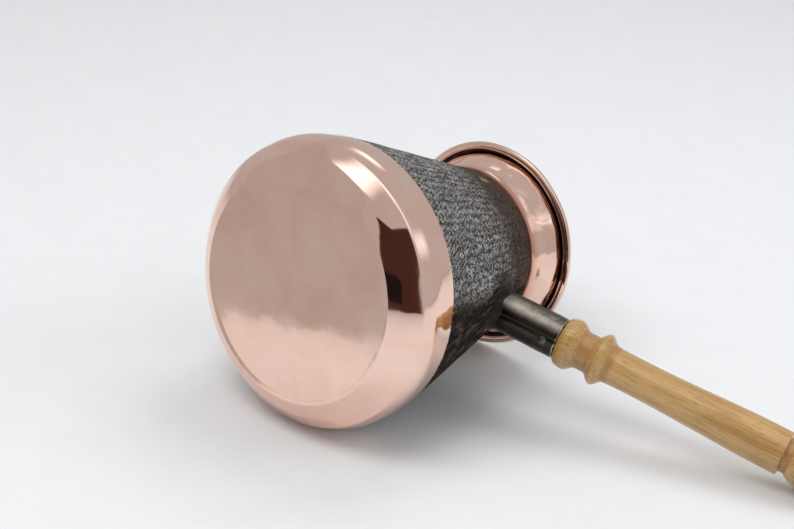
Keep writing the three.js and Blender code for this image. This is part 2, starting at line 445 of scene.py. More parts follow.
def addWorld():
    world = bpy.data.worlds.new("studio")
    bpy.context.scene.world = world
    world.use_nodes = True
    nodes = world.node_tree.nodes
    links = world.node_tree.links
    nodes.clear()
    seen = nodes.new("ShaderNodeBackground")
    seen.inputs["Color"].default_value = (0.79, 0.81, 0.84, 1)
    around = nodes.new("ShaderNodeBackground")
    around.inputs["Color"].default_value = (0.54, 0.535, 0.535, 1)
    path = nodes.new("ShaderNodeLightPath")
    mix = nodes.new("ShaderNodeMixShader")
    out = nodes.new("ShaderNodeOutputWorld")
    links.new(path.outputs["Is Camera Ray"], mix.inputs[0])
    links.new(around.outputs[0], mix.inputs[1])
    links.new(seen.outputs[0], mix.inputs[2])
    links.new(mix.outputs[0], out.inputs["Surface"])


# at: degrees above the floor, degrees to the right of the camera, and metres away
lamps = {
    "lampAbove": {"at": (62, -50, 0.85), "size": (0.55, 0.4), "power": 2.95, "colour": (1.0, 0.99, 0.98)},
    "lampBehind": {"at": (62, 150, 0.9), "size": (0.5, 0.4), "power": 1.9, "colour": (0.98, 0.99, 1.0)},
    "lampRight": {"at": (35, 83, 1.0), "size": (0.5, 0.6), "power": 2.0, "colour": (0.98, 0.99, 1.0)},
}
# and a card's glow: red, green, blue; soft is the width of its faded edge
cards = {
    "glowLeft": {"at": (60, -72, 0.95), "size": (0.85, 0.42), "glow": (2.0, 2.0, 2.0), "soft": 0.35},
    "glowTop": {"at": (86, 0, 1.0), "size": (1.0, 0.8), "glow": (1.5, 1.5, 1.52), "soft": 0.35},
    "glowCeiling": {"at": (62, 62, 1.05), "size": (1.0, 0.6), "glow": (1.3, 1.31, 1.34), "soft": 0.4},
    "glowWindow": {"at": (34, 76, 1.1), "size": (0.5, 0.75), "glow": (1.15, 1.18, 1.22), "soft": 0.5},
    "glowBehind": {"at": (48, 168, 1.0), "size": (0.5, 0.3), "glow": (1.5, 1.52, 1.55), "soft": 0.4},
    "darkCamera": {"at": (16.5, -3.5, 1.15), "size": (1.35, 0.86), "glow": (0.062, 0.027, 0.023),
                   "soft": 0.03},
    "darkTripod": {"at": (8, -18, 1.05), "size": (0.26, 0.5), "glow": (0.014, 0.009, 0.009), "soft": 0.1},
}
standingCards = {
    "roomLeft": {"at": (0, -80, 0.17), "size": (0.5, 0.34), "glow": (0.50, 0.49, 0.485), "soft": 0.015},
}

addWorld()
for lampName, lamp in lamps.items():
    addSoftbox(lampName, lamp)
for cardName, card in cards.items():
    addCard(cardName, card)
print("camera, lights and cards ready")


pot = {
    "bellyRadius": 57.0,
    "bellyHeight": 14.5,
    "height": 121.6,
    "baseInset": 12.2,
    "baseEdge": 1.5,
    "chamferInset": 7.0,
    "chamferHeight": 3.0,
    "ridgeInset": 1.9,
    "ridgeHeight": 8.3,
    "ridgeEdge": 2.2,
    "wallStartInset": 1.3,
    "wallStartHeight": 24.5,
    "wallStartEdge": 4.0,
    "neckRadius": 33.4,
    "neckDrop": 15.7,
    "neckCurve": 7.0,
    "wallEndReach": 1.7,
    "wallEndDrop": 8.4,
    "lipReach": 9.1,
    "lipRoll": 2.5,
    "lipDrop": 1.2,
    "gutterGap": 0.7,
    "gutterShadeReach": (0.6, 0.7),  # how far the painted shade in the gutter reaches below and above the roll's middle
    "underFullness": 0.8,  # 1 makes the lip's underside a true half round
    "pole": 3.0,
    "discSteps": 9,
    "flareSteps": 9,
    "gutterSteps": 6,
    "underSteps": 12,
    "rollSteps": 14,
    "copper": 1.4,
    "lipCopper": 1.1,
    "segments": 192,
    "bandRows": 46,
    "bandTint": 3.8,  # how far the oxide creeps up past the last marks
    "bandGap": 0.5,  # plain copper left at each end of the punched band
    "punchShare": 0.2,  # metal left round a punch mark, as a share of its cell
    "punchDepth": 0.16,  # of each of the two steps of a mark
    "punchJitter": 0.34,
    "rowShift": (0.35, 1.6),  # each row is turned by this many half cells
    "dentDepth": 0.06,
    "missed": (0.22, 0.4),  # share of places left unstruck everywhere, and more of them in streaks
    "streaks": 46,
    "baseRecess": 0.2,  # the flat base lies this much inside the ring that it stands on
    "baseStep": 2.0,
}

neckHeight = pot["height"] - pot["neckDrop"]
wallStart = (pot["bellyRadius"] - pot["wallStartInset"], pot["wallStartHeight"])
wallEnd = (pot["neckRadius"] + pot["wallEndReach"], neckHeight - pot["wallEndDrop"])
lipRadius = pot["neckRadius"] + pot["lipReach"]
rollCentre = (lipRadius - pot["lipRoll"], pot["height"] - pot["lipRoll"])
flareTop = (rollCentre[0] - pot["lipRoll"] + pot["lipCopper"], rollCentre[1])


def wallRadius(height):
    # outside of the straight tapering wall
    share = (height - wallStart[1]) / (wallEnd[1] - wallStart[1])
    return wallStart[0] + (wallEnd[0] - wallStart[0]) * share


def potOutside():
    belly = pot["bellyRadius"]
    recess, step = pot["baseRecess"], pot["baseStep"]
    return roundCorners([
        (pot["pole"], recess, 0),
        (belly - pot["baseInset"] - step, recess, 0.8),
        (belly - pot["baseInset"] - 0.4, 0, 0.3),
        (belly - pot["baseInset"], 0, pot["baseEdge"]),
        (belly - pot["chamferInset"], pot["chamferHeight"], pot["baseInset"]),
        (belly - pot["ridgeInset"], pot["ridgeHeight"], pot["ridgeEdge"]),
        (belly, pot["bellyHeight"], pot["bellyHeight"]),
        (*wallStart, pot["wallStartEdge"]),
        (*wallEnd, pot["neckCurve"]),
        (pot["neckRadius"], neckHeight, pot["neckCurve"]),
        (*flareTop, 0),
    ])


bandLow = pot["wallStartHeight"] + pot["bandGap"]
bandHigh = wallEnd[1] - 0.3


def potOutline():
    points = potOutside()
    foot = [point for point in points if point[1] < bandLow]
    neck = [point for point in points if point[1] > bandHigh]
    disc = divide(foot[0], foot[1], pot["discSteps"])
    lowWall = (wallRadius(bandLow), bandLow)
    highWall = (wallRadius(bandHigh), bandHigh)
    flare = divide(neck[-2], neck[-1], pot["flareSteps"])
    # the rolled sheet comes round almost to the flare and leaves a thin gutter
    gap = pot["gutterGap"] / 2
    gutter = ringArc((flareTop[0] + gap, rollCentre[1]), gap, math.pi, 0, pot["gutterSteps"])
    bead = (rollCentre[0] + pot["lipRoll"] - gutter[-1][0]) / 2
    under = []
    for k in range(1, pot["underSteps"]):
        angle = math.pi - math.pi * k / pot["underSteps"]
        drop = pot["lipDrop"] * abs(math.sin(angle)) ** pot["underFullness"]
        under.append((gutter[-1][0] + bead + bead * math.cos(angle), rollCentre[1] - drop))
    roll = ringArc(rollCentre, pot["lipRoll"], 0, math.pi, pot["rollSteps"])
    inside = offsetInside(points, pot["copper"])[1:-1]
    inside = [point for i, point in enumerate(reversed(inside)) if i % 2 == 0]
    return (
        foot[:1] + disc + foot[2:] + [lowWall] + divide(lowWall, highWall, pot["bandRows"])
        + neck[:-1] + flare[:-1] + gutter + under + roll
        + inside + [(pot["pole"], pot["copper"])]
    )


def makePot():
    rowHeight = (bandHigh - bandLow) / pot["bandRows"]
    halfCell = math.pi / pot["segments"]
    chance = random.Random(7)

    def shifted(z):
        return halfCell * chance.uniform(*pot["rowShift"]) if bandLow + 0.1 < z < bandHigh + 0.1 else 0

    piece = turnOnLathe("copper_pot", potOutline(), pot["segments"], twist=shifted)
    shakeBand(piece, chance)

    def punched(face):
        middle = face.calc_center_median()
        if not isOutside(middle, bandLow, bandHigh) or face.normal.xy.dot(middle.xy) < 0:
            return False
        row = min((middle.z / mm - bandLow), (bandHigh - middle.z / mm)) / rowHeight
        # some places are missed, mostly in streaks that run up the wall
        turn = math.atan2(middle.y, middle.x)
        streak = noise.noise(Vector((turn * pot["streaks"], middle.z / mm * 0.07, 2)))
        missed = pot["missed"][0] + pot["missed"][1] * smoothStep(0.05, 0.45, streak)
        return noise.cell(middle / (0.3 * mm)) < (1 - missed if row > 2 else 0.35 + 0.15 * row)

    selectFaces(piece, punched)
    markAttribute(piece, "punched")
    for level, share in ((0.45, pot["punchShare"]), (1.0, pot["punchShare"] * 1.2)):
        bpy.ops.mesh.inset(thickness=0, depth=0, use_individual=True)
        sinkFaces(piece, 2 * share, pot["punchDepth"])
        markAttribute(piece, "pit", level)
    bpy.ops.mesh.select_all(action="DESELECT")
    bpy.ops.object.mode_set(mode="OBJECT")
    # the gutter's mask, which the copper reads for the painted shade under the lip
    writeAttribute(piece, "gutter", lambda place: 1.0 if inGutter(place) else 0.0)
    handWork(piece, dished=True)
    return finishShape(piece, 35)


def shakeBand(piece, chance):
    # uneven metal under the punch marks: the net's corners are moved about on the wall
    selectVerts(piece, lambda vert: isOutside(vert.co, bandLow + 1, bandHigh - 1))
    work = bmesh.from_edit_mesh(piece.data)
    jitter, dent = pot["punchJitter"], pot["dentDepth"]
    for vert in work.verts:
        if vert.select:
            height = vert.co.z / mm + chance.uniform(-jitter, jitter)
            radius = wallRadius(height) + chance.uniform(-dent, dent)
            turn = math.atan2(vert.co.y, vert.co.x) + chance.uniform(-jitter, jitter) / radius
            vert.co = Vector((radius * math.cos(turn), radius * math.sin(turn), height)) * mm
    work.normal_update()
    bmesh.update_edit_mesh(piece.data)


def sinkFaces(piece, share, depth):
    # each picked face is drawn unevenly towards its middle and pushed into the wall
    work = bmesh.from_edit_mesh(piece.data)
    for face in work.faces:
        if face.select:
            middle = face.calc_center_median()
            inward = Vector((-middle.x, -middle.y, 0)).normalized() * depth * mm
            for vert in face.verts:
                uneven = 0.75 + 0.5 * noise.cell(vert.co / (0.2 * mm))
                vert.co += (middle - vert.co) * share * uneven + inward
    bmesh.update_edit_mesh(piece.data)


def isOutside(place, low, high):
    height = place.z / mm
    return low < height < high and place.xy.length > (wallRadius(height) - 0.7) * mm


def inGutter(place):
    radius, height = place.xy.length / mm, place.z / mm - rollCentre[1]
    within = flareTop[0] - 0.15 < radius < flareTop[0] + pot["gutterGap"] + 0.1
    return within and -pot["gutterShadeReach"][0] < height < pot["gutterShadeReach"][1]


def markAttribute(piece, name, level=1.0):
    # the selected faces' corners get the level, and all others keep theirs, at first 0
    work = bmesh.from_edit_mesh(piece.data)
    layer = work.verts.layers.float.get(name) or work.verts.layers.float.new(name)
    for face in work.faces:
        if face.select:
            for vert in face.verts:
                vert[layer] = level
    bmesh.update_edit_mesh(piece.data)


handMarks = {
    "flatSide": -73,  # degrees round the pot
    "flatDepth": 0.35,
    "waves": (14, 0.09),  # length and depth
    "wallWaves": (7, 0.16),
    "mouthWaves": (8, 0.3),
    "lipWaves": (2.2, 0.15),  # how many round the pot, and depth
    "lipSwell": 0.2,
    "polishedOff": 0.08,
    "sleeve": 45,
    "dish": (22, 0.07),
    "dishRipple": (9, 0.015),
    "dishRise": 0.09,
}


def handWork(piece, dished=False):
    # the pot was beaten and polished by hand, so no ring is quite round and no face quite flat
    for vert in piece.data.vertices:
        place = vert.co
        radius = place.xy.length
        height = place.z / mm
        if radius < 0.5 * mm:
            continue
        angle = math.atan2(place.y, place.x)
        around = Vector((math.cos(angle), math.sin(angle), 0))
        # the neck and the lip are a little flattened on one side
        off = math.cos(angle - math.radians(handMarks["flatSide"]))
        flat = max(off, 0) ** 6 * smoothStep(88, 106, height) * handMarks["flatDepth"]
        # a place on one sleeve round the pot, so the metal and its lining move together
        sleeve = around * handMarks["sleeve"] + Vector((0, 0, height))
        length, depth = handMarks["waves"]
        waves = noise.noise(sleeve / length) * depth
        length, depth = handMarks["wallWaves"]
        wall = smoothStep(24, 34, height) * smoothStep(100, 92, height)
        tall = Vector((sleeve.x, sleeve.y, height * 0.45)) / length
        waves += noise.noise(tall + Vector((9, 4, 2))) * depth * wall
        length, depth = handMarks["mouthWaves"]
        flare = smoothStep(105, 109, height) * smoothStep(119, 115, height)
        waves += noise.noise(sleeve / length + Vector((3, 0, 7))) * depth * flare
        number, depth = handMarks["lipWaves"]
        lip = noise.noise(around * number) * depth - handMarks["lipSwell"]
        inwards = flat + waves + smoothStep(108, 118, height) * lip + handMarks["polishedOff"]
        vert.co -= around * inwards * mm * smoothStep(0, 30, radius / mm)
        if dished and height < 1.0 and radius < 44 * mm:
            length, depth = handMarks["dish"]
            dish = noise.noise(Vector((place.x, place.y, 0.3)) / (length * mm)) * depth
            length, depth = handMarks["dishRipple"]
            dish += noise.noise(Vector((place.x, place.y, 0.9)) / (length * mm)) * depth
            vert.co.z += (dish + handMarks["dishRise"]) * mm * smoothStep(44, 38, radius / mm)


copperPot = makePot()


def polishedCopper():
    material = newMaterial("polishedCopper", Metallic=1.0)
    place = objectPlace()
    split = axes(place)
    height = split["Z"]
    cloudy = noiseValue(place, 38, detail=4, roughness=0.6, distortion=0.6)
    fine = noiseValue(place, 420, detail=3, roughness=0.6)
    tone = ramped(cloudy, [
        (0.30, (0.85, 0.565, 0.455, 1)), (0.52, (0.90, 0.635, 0.525, 1)), (0.75, (0.93, 0.69, 0.59, 1))])
    # painted shade and painted reflection: the copper is darkened to red in the fold of the neck, just
    # above the wall, where it reflects the dark wall below
    neckFoldShade = humped(height, (0.0945, 0.099), (0.104, 0.1095))
    tone = mixedColour(times(neckFoldShade, 0.85), tone, (0.52, 0.18, 0.115, 1))
    # painted shade: the gutter under the lip is painted nearly black, standing in for the shadow inside the
    # curl of the roll
    flatPlace = addNode("CombineXYZ", {"X": split["X"], "Y": split["Y"]}).outputs[0]
    radial = lengthOf(flatPlace)
    gutter = attributeValue("gutter")
    tone = mixedColour(times(gutter, 0.95), tone, (0.03, 0.022, 0.02, 1))
    plug("Base Color", tone)
    # the flat base is wiped softer than the spun belly
    base = ranged(radial, 0.0425, 0.0445, 1, 0)
    base = times(base, ranged(height, 0.001, 0.003, 1, 0))
    rough = plus(ranged(cloudy, 0.3, 0.75, 0.035, 0.075), times(base, 0.055))
    rough = plus(rough, ranged(fine, 0.55, 0.75, 0, 0.035))
    rough = plus(rough, times(neckFoldShade, 0.16))
    plug("Roughness", rough)
    # spinning lines round the pot and soft dents from the planishing
    rings = addNode("CombineXYZ", {"X": radial, "Y": height}).outputs[0]
    lines = noiseValue(rings, 1500, detail=2)
    dents = noiseValue(place, 75, detail=2, roughness=0.45)
    beaten = noiseValue(place, 105, detail=1, distortion=0.7)
    mouth = humped(height, (0.105, 0.110), (0.1155, 0.1185))
    normal = bumped(dents, 0.00022, 0.35)
    normal = bumped(times(beaten, mouth), 0.0009, 0.5, normal)
    normal = bumped(lines, 0.00001, 0.25, normal)
    plug("Normal", normal)
    return material


def punchedCopper():
    material = newMaterial("punchedCopper", Specular_Tint=(0.55, 0.52, 0.50, 1))
    place = objectPlace()
    split = axes(place)
    height = split["Z"]
    pit = attributeValue("pit")
    struck = attributeValue("punched")
    angle = turnRound(split)
    grain = noiseValue(place, 900, detail=4, roughness=0.65)
    blotch = noiseValue(objectPlace((1, 1, 0.28)), 300, detail=3, roughness=0.6)
    cloud = noiseValue(place, 70, detail=3)
    # small crooked strokes between the deep marks, fewer of them along lines that run up the wall
    strokes = noiseValue(objectPlace((1, 1, 0.85)), 1120, detail=1.5, distortion=0.9)
    wander = times(noiseValue(place, 120, detail=2), 9.0)
    lines = plus(times(angle, 98.0), wander)
    lines = times(combined("SINE", lines, 0.0), 0.065)
    strokes = ranged(plus(strokes, lines), 0.44, 0.52, 1, 0)
    worn = ramped(blotch, [
        (0.28, (0.28, 0.277, 0.27, 1)), (0.5, (0.50, 0.497, 0.487, 1)), (0.72, (0.74, 0.735, 0.725, 1))])
    deep = ramped(grain, [(0.3, (0.012, 0.010, 0.009, 1)), (0.7, (0.06, 0.05, 0.043, 1))])
    hollow = ranged(pit, 0.25, 0.95, 0, 1)
    dark = larger(hollow, times(strokes, 0.9))
    tone = mixedColour(dark, worn, deep)
    # the oxide turns brown and darker towards the neck
    rust = plus(height, times(cloud, 0.02))
    brown = times(ranged(rust, 0.080, 0.103, 0, 1), 0.85)
    rustTone = mixedColour(ranged(grain, 0.35, 0.65, 0, 1),
                           (0.022, 0.013, 0.010, 1), (0.13, 0.078, 0.056, 1))
    tone = mixedColour(brown, tone, rustTone)
    # soot lies round the root of the socket; the side of the wall that faces the floor is darkened too, as
    # painted shade and a painted dark reflection
    away = farFrom(place, (socket["foot"][0] + 0.004, 0.0, socket["foot"][1] - 0.006))
    away = plus(away, times(blotch, 0.012))
    sootAndShade = ranged(away, 0.017, 0.029, 0.9, 0)
    # painted shade: a dark band on the side of the wall that faces the floor
    turn = plus(angle, times(blotch, 0.16))
    turn = plus(turn, times(minus(0.082, height), 3.5))
    floorSideShade = humped(turn, (-0.17, 0.0), (1.0, 1.9), 0, 0.96)
    sootAndShade = larger(sootAndShade, floorSideShade)
    sootAndShadeTone = mixedColour(ranged(blotch, 0.5, 0.66, 0, 1),
                           (0.016, 0.012, 0.010, 1), (0.088, 0.058, 0.040, 1))
    tone = mixedColour(sootAndShade, tone, sootAndShadeTone)
    # the oxide is rubbed through in one spot below the neck
    spot = farFrom(place, (0.0035, -0.036, 0.0945), (1.0, 1.0, 0.55))
    spot = plus(spot, times(grain, 0.002))
    spot = ranged(spot, 0.0016, 0.0034, 0.75, 0)
    # bare copper shows at the ragged lower edge and where a mark was missed there
    edge = plus(height, times(strokes, 0.0012))
    edge = plus(edge, times(blotch, -0.002))
    edge = ranged(edge, 0.0243, 0.0250, 1, 0)
    plain = ranged(struck, 0.2, 0.8, 1, 0)
    plain = times(plain, ranged(height, 0.026, 0.030, 0.8, 0))
    plain = larger(larger(plain, spot), edge)
    tone = mixedColour(plain, tone, (0.80, 0.54, 0.44, 1))
    plug("Base Color", tone)
    metal = minus(0.95, times(dark, 0.55))
    metal = times(metal, minus(1.0, sootAndShade))
    plug("Metallic", larger(metal, plain))
    rough = ranged(grain, 0.3, 0.7, 0.30, 0.48)
    rough = plus(rough, times(dark, 0.2))
    rough = minus(rough, times(plain, 0.25))
    rough = plus(rough, times(sootAndShade, 0.35))
    plug("Specular IOR Level", ranged(sootAndShade, 0, 1, 0.5, 0.06))
    plug("Roughness", rough)
    scratches = noiseValue(objectPlace((1, 1, 2.2)), 1400, detail=3)
    normal = bumped(grain, 0.00025, 0.6)
    normal = bumped(minus(1.0, strokes), 0.0003, 0.7, normal)
    plug("Normal", bumped(scratches, 0.0001, 0.5, normal))
    return material


wallRise = (Vector(wallEnd) - Vector(wallStart)).normalized()
handleTilt = math.atan2(-wallRise.x, wallRise.y)

socket = {
    "length": 27.3,
    "radius": 8.4,
    "wall": 1.2,
    "drop": 19.3,
    "segments": 128,
    "seamTurn": -10.0,  # degrees round from the lowest line
    "seamDepth": 0.45,
    "edge": 0.35,
}
footPlace = Vector(wallEnd) - wallRise * socket["drop"]
socket["foot"] = (footPlace.x * mm, footPlace.y * mm)
socket["start"] = footPlace.x / math.cos(handleTilt)
socket["end"] = socket["start"] + socket["length"]
axisHeight = footPlace.y - footPlace.x * math.tan(handleTilt)

# a local +Z runs out along the handle and a local +X points down from it
handlePlace = {
    "location": (0.0, 0.0, axisHeight * mm),
    "rotation": (0.0, math.pi / 2 - handleTilt, 0.0),
}
handleTurn = Euler(handlePlace["rotation"]).to_matrix().to_4x4()
handleMatrix = Matrix.Translation(handlePlace["location"]) @ handleTurn


def mountOnHandle(piece):
    if bpy.context.mode != "OBJECT":
        bpy.ops.object.mode_set(mode="OBJECT")
    deselectAll()
    piece.select_set(True)
    bpy.context.view_layer.objects.active = piece
    piece.location = handlePlace["location"]
    piece.rotation_euler = handlePlace["rotation"]
    bpy.ops.object.transform_apply(location=True, rotation=True, scale=True)


def wallReach(x, y):
    # how far out along the handle, in millimetres, the line beside its axis meets the pot's wall
    reach = socket["start"]
    for turn in range(12):
        place = handleMatrix @ Vector((x * mm, y * mm, reach * mm))
        gap = place.xy.length / mm - wallRadius(place.z / mm)
        reach -= gap * math.cos(handleTilt) * 0.9
    return reach


copperPot.data.materials.append(polishedCopper())
copperPot.data.materials.append(punchedCopper())
bpy.context.view_layer.objects.active = copperPot
bpy.ops.object.mode_set(mode="EDIT")
tintHigh = bandHigh + pot["bandTint"]
selectFaces(copperPot, lambda face: isOutside(face.calc_center_median(), bandLow, tintHigh))
copperPot.active_material_index = 1
bpy.ops.object.material_slot_assign()
bpy.ops.object.mode_set(mode="OBJECT")
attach(copperPot, "root")
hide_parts("pot_body")
print("pot turned and punched")


tin = {"gap": 0.3, "thickness": 0.4, "segments": 160}


def tinMaterial():
    material = newMaterial("wipedTin", Metallic=1.0)
    place = objectPlace()
    swirl = noiseValue(objectPlace((1, 1, 0.4)), 60,
                       detail=5, roughness=0.62, distortion=1.6)
    fine = noiseValue(place, 700, detail=3)
    tone = ramped(swirl, [
        (0.3, (0.46, 0.46, 0.45, 1)), (0.55, (0.62, 0.62, 0.605, 1)), (0.75, (0.72, 0.72, 0.70, 1))])
    deep = ranged(axes(place)["Z"], 0.004, 0.05, 0.55, 0)
    tone = mixedColour(deep, tone, (0.34, 0.33, 0.31, 1))
    plug("Base Color", tone)
    plug("Roughness", ranged(swirl, 0.3, 0.75, 0.24, 0.42))
    normal = bumped(swirl, 0.0005, 0.35)
    plug("Normal", bumped(fine, 0.00005, 0.4, normal))
    return material


def makeTin():
    points = potOutside()[1:]
    outer = offsetInside(points, pot["copper"] + tin["gap"])
    inner = offsetInside(points, pot["copper"] + tin["gap"] + tin["thickness"])
    rim = pot["height"] - pot["lipRoll"] - 0.3
    outer = [(3.0, pot["copper"] + tin["gap"])] + [point for point in outer if point[1] < rim - 0.2]
    inner = [(3.0, outer[0][1] + tin["thickness"])] + [point for point in inner if point[1] < rim - 0.2]
    outer = outer[:-1] + divide(outer[-2], outer[-1], 3)
    wall = max(range(1, len(inner)), key=lambda i: inner[i][1] - inner[i - 1][1])
    inner = inner[:wall] + divide(inner[wall - 1], inner[wall], 24) + inner[wall + 1:]
    piece = turnOnLathe("tin_coat", outer + inner[::-1], tin["segments"])
    bpy.ops.object.mode_set(mode="OBJECT")
    for vert in piece.data.vertices:
        ripple = noise.noise(vert.co / (9 * mm)) * 0.08 + noise.noise(vert.co / (4 * mm)) * 0.04
        vert.co += Vector((-vert.co.x, -vert.co.y, 0)).normalized() * (ripple + 0.05) * mm * 0.5
    handWork(piece)
    return finishShape(piece, 50)


tinCoat = makeTin()
tinCoat.data.materials.append(tinMaterial())
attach(tinCoat, "root")
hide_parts("tin_lining")
print("tin lining wiped in")


nail = {"fromEnd": 5.2, "headRadius": 1.75, "headHeight": 0.8, "shankRadius": 0.9, "reach": 6.0}


def makeSocket():
    outer, inner = socket["radius"], socket["radius"] - socket["wall"]
    start, end, edge = socket["start"] - 3.0, socket["end"], socket["edge"]
    low = (outer, start)
    side = divide(low, (outer, end - edge), 26)
    mouth = [(outer - edge * 0.35, end - edge * 0.3), (outer - edge, end)]
    mouth += [(inner + edge, end), (inner, end - edge)]
    outline = [low] + side + mouth + divide(mouth[-1], (inner, start), 3)
    outline.append(low)
    piece = turnOnLathe("steel_socket", outline, socket["segments"])
    bpy.ops.object.mode_set(mode="OBJECT")
    for vert in piece.data.vertices:
        x, y, z = vert.co / mm
        radius = math.hypot(x, y)
        turn = math.degrees(math.atan2(y, x)) - socket["seamTurn"]
        # the root follows the round of the wall
        sink = smoothStep(start + 8, start, z)
        z += (wallReach(x, y) - 0.15 - start) * sink
        # rolled from sheet: a seam runs along it, and it opens a little at the end
        seam = math.exp(-(turn / 2.6) ** 2) * socket["seamDepth"] * smoothStep(start + 3, start + 9, z)
        seam += math.exp(-(turn / 7.0) ** 2) * 0.25 * smoothStep(end - 6, end, z)
        # file marks leave the end ragged, and hammering leaves the tube uneven
        ragged = noise.noise(Vector((x, y, 3.0)) * 0.55) * 0.28 * smoothStep(end - 2.5, end, z)
        dent = noise.noise(Vector((x, y, z * 0.6)) * 0.33) * 0.1 + 0.05
        shrink = (radius - (seam + dent if radius > inner + 0.2 else dent)) / radius
        vert.co = Vector((x * shrink, y * shrink, z - abs(ragged))) * mm
    writeAttribute(piece, "along", lambda place: place.z / mm)
    mountOnHandle(piece)
    return finishShape(piece, 38)


def socketMaterial():
    material = newMaterial("blackenedSteel", Metallic=1.0)
    place = objectPlace(place=handlePlace)
    along = attributeValue("along")
    drawn = addNode("Mapping", {"Vector": place, "Scale": (1, 1, 0.12)}).outputs[0]
    streaks = noiseValue(drawn, 900, detail=4, roughness=0.6)
    blotch = noiseValue(place, 160, detail=5, roughness=0.65, distortion=0.8)
    tone = ramped(blotch, [
        (0.25, (0.18, 0.162, 0.132, 1)), (0.5, (0.31, 0.282, 0.235, 1)), (0.8, (0.46, 0.42, 0.35, 1))])
    # painted light and shade: the tube is dark all round, as blackened steel and painted shade, except for
    # a lighter stripe along its upper side that is a painted highlight from the lamps above
    turn = turnRound(axes(place))
    turn = plus(turn, times(minus(blotch, 0.5), 0.5))
    highlightStripe = humped(turn, (-1.55, -1.1), (-0.85, -0.4), 0.25, 1)
    tone = mixedColour(highlightStripe, (0.055, 0.048, 0.039, 1), tone)
    # rubbed bright towards the end
    wear = plus(along, times(blotch, 1.6))
    wear = ranged(wear, socket["end"] - 0.1, socket["end"] + 0.7, 0, 0.9)
    tone = mixedColour(wear, tone, (0.62, 0.55, 0.46, 1))
    scratch = ranged(streaks, 0.66, 0.74, 0, 0.4)
    tone = mixedColour(scratch, tone, (0.30, 0.27, 0.23, 1))
    burnt = ranged(along, socket["start"] + 9, socket["start"] - 2, 0, 0.75)
    tone = mixedColour(burnt, tone, (0.014, 0.012, 0.011, 1))
    plug("Base Color", tone)
    plug("Roughness", ranged(blotch, 0.25, 0.75, 0.2, 0.36))
    normal = bumped(blotch, 0.0004, 0.3)
    plug("Normal", bumped(streaks, 0.00006, 0.5, normal))
    return material


steelSocket = makeSocket()
steelSocket.data.materials.append(socketMaterial())
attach(steelSocket, "root")
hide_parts("handle_socket")

braze = {"spread": 4.2, "height": 3.5, "rings": 9, "segments": 96, "sink": 0.2}


def makeBraze():
    inner = socket["radius"] - 0.1
    outline = [(inner + braze["spread"] * (1 - k / braze["rings"]), k) for k in range(braze["rings"] + 1)]
    outline = [(inner, -1.0), (inner + braze["spread"], -1.0)] + outline + [(inner, -1.0)]
    piece = turnOnLathe("braze_fillet", outline, braze["segments"])
    bpy.ops.object.mode_set(mode="OBJECT")
    for vert in piece.data.vertices:
        x, y, z = vert.co / mm
        radius = math.hypot(x, y)
        around = Vector((x, y, 0)) / radius
        # the molten edge ran unevenly
        run = 0.82 + noise.noise(around * 1.9 + Vector((5, 1, 0))) * 0.28 + noise.noise(around * 5) * 0.08
        radius = inner + (radius - inner) * min(run, 1.0)
        x, y = around.x * radius, around.y * radius
        if z < -0.5:
            height = -braze["sink"] - 0.4
        else:
            climb = z / braze["rings"]
            height = braze["height"] * min(run, 1.0) * climb ** 2.1 - braze["sink"] * (1 - climb)
            height += noise.noise(Vector((x, y, z)) * 0.5) * 0.12 * (1 - climb)
        vert.co = Vector((x, y, wallReach(x, y) + height)) * mm
    mountOnHandle(piece)
    return finishShape(piece, 60)


def brazeMaterial():
    material = newMaterial("sootyBraze", Metallic=0.85)
    place = objectPlace()
    lumps = noiseValue(place, 260, detail=4, roughness=0.6)
    tone = ramped(lumps, [
        (0.3, (0.012, 0.011, 0.010, 1)), (0.6, (0.035, 0.032, 0.028, 1)), (0.85, (0.10, 0.085, 0.07, 1))])
    plug("Base Color", tone)
    plug("Roughness", ranged(lumps, 0.3, 0.7, 0.34, 0.6))
    plug("Normal", bumped(lumps, 0.0006, 0.45))
    return material


brazeFillet = makeBraze()
brazeFillet.data.materials.append(brazeMaterial())
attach(brazeFillet, "root")
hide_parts("socket_braze")


def makeNail():
    head, dome = nail["headRadius"], nail["headHeight"]
    shank, reach = nail["shankRadius"], nail["reach"]
    outline = [(0.15, -reach), (shank * 0.75, 1.2 - reach), (shank, 1.8 - reach), (shank, -0.25)]
    outline += [(head * 0.9, 0.0), (head, 0.12)]
    outline += [(head * math.cos(angle), 0.12 + (dome - 0.12) * math.sin(angle))
                for angle in (math.radians(15 * k) for k in range(1, 6))]
    outline.append((0.12, dome))
    piece = turnOnLathe("round_nail", outline, 40)
    bpy.ops.object.mode_set(mode="OBJECT")
    for vert in piece.data.vertices:
        if vert.co.z > 0.05 * mm:
            # hammer facets on the head
            vert.co.z -= abs(noise.noise(vert.co / (1.1 * mm))) * 0.22 * mm
            vert.co.xy *= 1 - abs(noise.noise(vert.co / (1.6 * mm))) * 0.1
    piece.rotation_euler = (0, math.pi / 2, 0)
    piece.location = ((socket["radius"] + 0.02) * mm, 0, (socket["end"] - nail["fromEnd"]) * mm)
    deselectAll()
    piece.select_set(True)
    bpy.ops.object.transform_apply(location=True, rotation=True, scale=True)
    mountOnHandle(piece)
    return finishShape(piece, 45)


def nailMaterial():
    material = newMaterial("dullNail", Metallic=1.0)
    place = objectPlace()
    grain = noiseValue(place, 1500, detail=3)
    tone = ramped(grain, [(0.3, (0.05, 0.045, 0.04, 1)), (0.7, (0.30, 0.275, 0.24, 1))])
    plug("Base Color", tone)
    plug("Roughness", ranged(grain, 0.3, 0.7, 0.3, 0.5))
    plug("Normal", bumped(grain, 0.0001, 0.5))
    return material


roundNail = makeNail()
roundNail.data.materials.append(nailMaterial())
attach(roundNail, "root")
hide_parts("handle_nail")
print("socket, braze and nail fitted")


